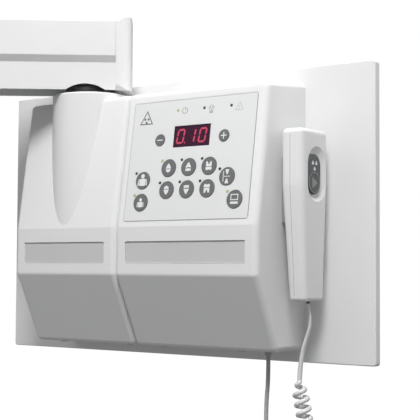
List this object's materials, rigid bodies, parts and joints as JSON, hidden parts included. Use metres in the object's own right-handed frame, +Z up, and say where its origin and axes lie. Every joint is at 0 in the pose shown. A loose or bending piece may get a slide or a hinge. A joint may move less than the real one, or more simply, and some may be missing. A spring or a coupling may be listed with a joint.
{
  "type": "intraoral x-ray unit",
  "caption": "Wall-mounted intraoral x-ray unit: sloped control panel, folding balance arm, swivelling tube head with aiming cone, and a hand switch on a curly cord.",
  "frame": {"origin": "centre of the wall bolt pattern, on the plate's back face against the wall", "axes": "+X to the right along the wall, -Y out into the room, +Z up"},
  "size_m": [1.291, 0.3884, 0.9575],
  "materials": {
    "shell_white": "satin moulded",
    "plate_white": "powder coat",
    "arm_white": "powder coat",
    "panel_film": "membrane film",
    "key_grey": "membrane key",
    "label_grey": "satin plate",
    "display_dark": "dark red window",
    "lamp": "clear lamp",
    "board_green": "circuit board",
    "steel": "machined",
    "bronze": "sintered bronze",
    "collar_black": "moulded",
    "trigger_grey": "soft key",
    "cord_white": "cable jacket",
    "cord_grey": "cable jacket",
    "cone_grey": "moulded",
    "tube_glass": "clear",
    "potting_black": "potted block"
  },
  "bodies": {
    "wall_unit": {"wall_plate": "steel", "plate_cover": "plate_white", "hub_frame": "steel", "hub_cover": "shell_white", "name_labels": "label_grey", "pivot_bushings": "bronze", "pivot_collar": "collar_black", "control_cover": "shell_white", "panel_overlay": "panel_film", "display_filter": "display_dark", "display_module": "potting_black", "control_board": "board_green", "power_supply": "potting_black", "status_leds": "lamp", "cover_screws": "steel", "switch_holder": "shell_white", "cord_gland": "collar_black", "grey_lead": "cord_grey", "lead_connector": "cord_grey", "connector_lead": "cord_white", "curly_cord": "cord_white", "handset_lead": "cord_white"},
    "key_upper_incisor": {"key_upper_incisor": "key_grey"},
    "key_upper_canine": {"key_upper_canine": "key_grey"},
    "key_upper_molar": {"key_upper_molar": "key_grey"},
    "key_lower_incisor": {"key_lower_incisor": "key_grey"},
    "key_lower_canine": {"key_lower_canine": "key_grey"},
    "key_lower_molar": {"key_lower_molar": "key_grey"},
    "key_adult": {"key_adult": "key_grey"},
    "key_child": {"key_child": "key_grey"},
    "key_bitewing": {"key_bitewing": "key_grey"},
    "key_sensor": {"key_sensor": "key_grey"},
    "key_less": {"key_less": "key_grey"},
    "key_more": {"key_more": "key_grey"},
    "bracket": {"arm_beam": "arm_white", "arm_trims": "arm_white", "pivot_spindle": "steel", "elbow_bushing": "steel"},
    "elbow": {"elbow_post": "arm_white", "elbow_pin": "steel"},
    "lower_arm": {"lower_arm_shell": "arm_white", "lower_arm_spring": "steel"},
    "middle": {"middle_knuckle": "shell_white", "middle_pins": "steel"},
    "upper_arm": {"upper_arm_shell": "arm_white", "upper_arm_spring": "steel"},
    "wrist": {"end_knuckle": "shell_white", "end_pin": "steel"},
    "yoke": {"yoke": "arm_white"},
    "tube_head": {"tube_head_front": "shell_white", "tube_head_rear": "shell_white", "tilt_dials": "trigger_grey", "collimator_ring": "cone_grey", "cone": "cone_grey", "xray_tube": "tube_glass", "hv_transformer": "potting_black"},
    "handset": {"handset_front": "shell_white", "handset_back": "shell_white", "handset_board": "board_green"},
    "trigger": {"exposure_button": "trigger_grey"}
  },
  "joints": [
    {"name": "key_upper_incisor_press", "type": "slide", "parent": "wall_unit", "child": "key_upper_incisor", "axis": [0, 0.9888, -0.1495], "range_m": [0, 0.0005], "stiffness_N_per_m": 3000, "springref_m": -0.0003},
    {"name": "key_upper_canine_press", "type": "slide", "parent": "wall_unit", "child": "key_upper_canine", "axis": [0, 0.9888, -0.1495], "range_m": [0, 0.0005], "stiffness_N_per_m": 3000, "springref_m": -0.0003},
    {"name": "key_upper_molar_press", "type": "slide", "parent": "wall_unit", "child": "key_upper_molar", "axis": [0, 0.9888, -0.1495], "range_m": [0, 0.0005], "stiffness_N_per_m": 3000, "springref_m": -0.0003},
    {"name": "key_lower_incisor_press", "type": "slide", "parent": "wall_unit", "child": "key_lower_incisor", "axis": [0, 0.9888, -0.1495], "range_m": [0, 0.0005], "stiffness_N_per_m": 3000, "springref_m": -0.0003},
    {"name": "key_lower_canine_press", "type": "slide", "parent": "wall_unit", "child": "key_lower_canine", "axis": [0, 0.9888, -0.1495], "range_m": [0, 0.0005], "stiffness_N_per_m": 3000, "springref_m": -0.0003},
    {"name": "key_lower_molar_press", "type": "slide", "parent": "wall_unit", "child": "key_lower_molar", "axis": [0, 0.9888, -0.1495], "range_m": [0, 0.0005], "stiffness_N_per_m": 3000, "springref_m": -0.0003},
    {"name": "key_adult_press", "type": "slide", "parent": "wall_unit", "child": "key_adult", "axis": [0, 0.9888, -0.1495], "range_m": [0, 0.0005], "stiffness_N_per_m": 3000, "springref_m": -0.0003},
    {"name": "key_child_press", "type": "slide", "parent": "wall_unit", "child": "key_child", "axis": [0, 0.9888, -0.1495], "range_m": [0, 0.0005], "stiffness_N_per_m": 3000, "springref_m": -0.0003},
    {"name": "key_bitewing_press", "type": "slide", "parent": "wall_unit", "child": "key_bitewing", "axis": [0, 0.9888, -0.1495], "range_m": [0, 0.0005], "stiffness_N_per_m": 3000, "springref_m": -0.0003},
    {"name": "key_sensor_press", "type": "slide", "parent": "wall_unit", "child": "key_sensor", "axis": [0, 0.9888, -0.1495], "range_m": [0, 0.0005], "stiffness_N_per_m": 3000, "springref_m": -0.0003},
    {"name": "key_less_press", "type": "slide", "parent": "wall_unit", "child": "key_less", "axis": [0, 0.9888, -0.1495], "range_m": [0, 0.0005], "stiffness_N_per_m": 3000, "springref_m": -0.0003},
    {"name": "key_more_press", "type": "slide", "parent": "wall_unit", "child": "key_more", "axis": [0, 0.9888, -0.1495], "range_m": [0, 0.0005], "stiffness_N_per_m": 3000, "springref_m": -0.0003},
    {"name": "bracket_swing", "type": "hinge", "parent": "wall_unit", "child": "bracket", "pos_m": [-0.0775, -0.059, 0.135], "axis": [0, 0, 1], "range_deg": [-36, 140]},
    {"name": "elbow_swing", "type": "hinge", "parent": "bracket", "child": "elbow", "pos_m": [-0.37694, -0.29295, 0.203], "axis": [0, 0, 1], "range_deg": [-15, 165]},
    {"name": "lower_lift", "type": "hinge", "parent": "elbow", "child": "lower_arm", "pos_m": [-0.37694, -0.29295, 0.258], "axis": [0, 1, 0], "range_deg": [-50, 40]},
    {"name": "middle_level", "type": "hinge", "parent": "lower_arm", "child": "middle", "pos_m": [-0.58694, -0.29295, 0.62173], "axis": [0, 1, 0], "range_deg": [-40, 50]},
    {"name": "upper_lift", "type": "hinge", "parent": "middle", "child": "upper_arm", "pos_m": [-0.65094, -0.29295, 0.62173], "axis": [0, 1, 0], "range_deg": [-45, 45]},
    {"name": "wrist_level", "type": "hinge", "parent": "upper_arm", "child": "wrist", "pos_m": [-0.99499, -0.29295, 0.38083], "axis": [0, 1, 0], "range_deg": [-45, 45]},
    {"name": "yoke_swing", "type": "hinge", "parent": "wrist", "child": "yoke", "pos_m": [-0.99499, -0.29295, 0.32083], "axis": [0, 0, 1], "range_deg": [-150, 150]},
    {"name": "head_tilt", "type": "hinge", "parent": "yoke", "child": "tube_head", "pos_m": [-0.99499, -0.29295, 0.21583], "axis": [0, 1, 0], "range_deg": [-100, 100]},
    {"name": "handset_lift", "type": "slide", "parent": "wall_unit", "child": "handset", "axis": [0, 0, 1], "range_m": [0, 0.038]},
    {"name": "trigger_press", "type": "slide", "parent": "handset", "child": "trigger", "axis": [-1, 0, 0], "range_m": [0, 0.001], "stiffness_N_per_m": 2500, "springref_m": -0.0006}
  ],
  "couplings": [
    {"joint": "middle_level", "follows": "lower_lift", "ratio": -1},
    {"joint": "wrist_level", "follows": "upper_lift", "ratio": -1}
  ]
}
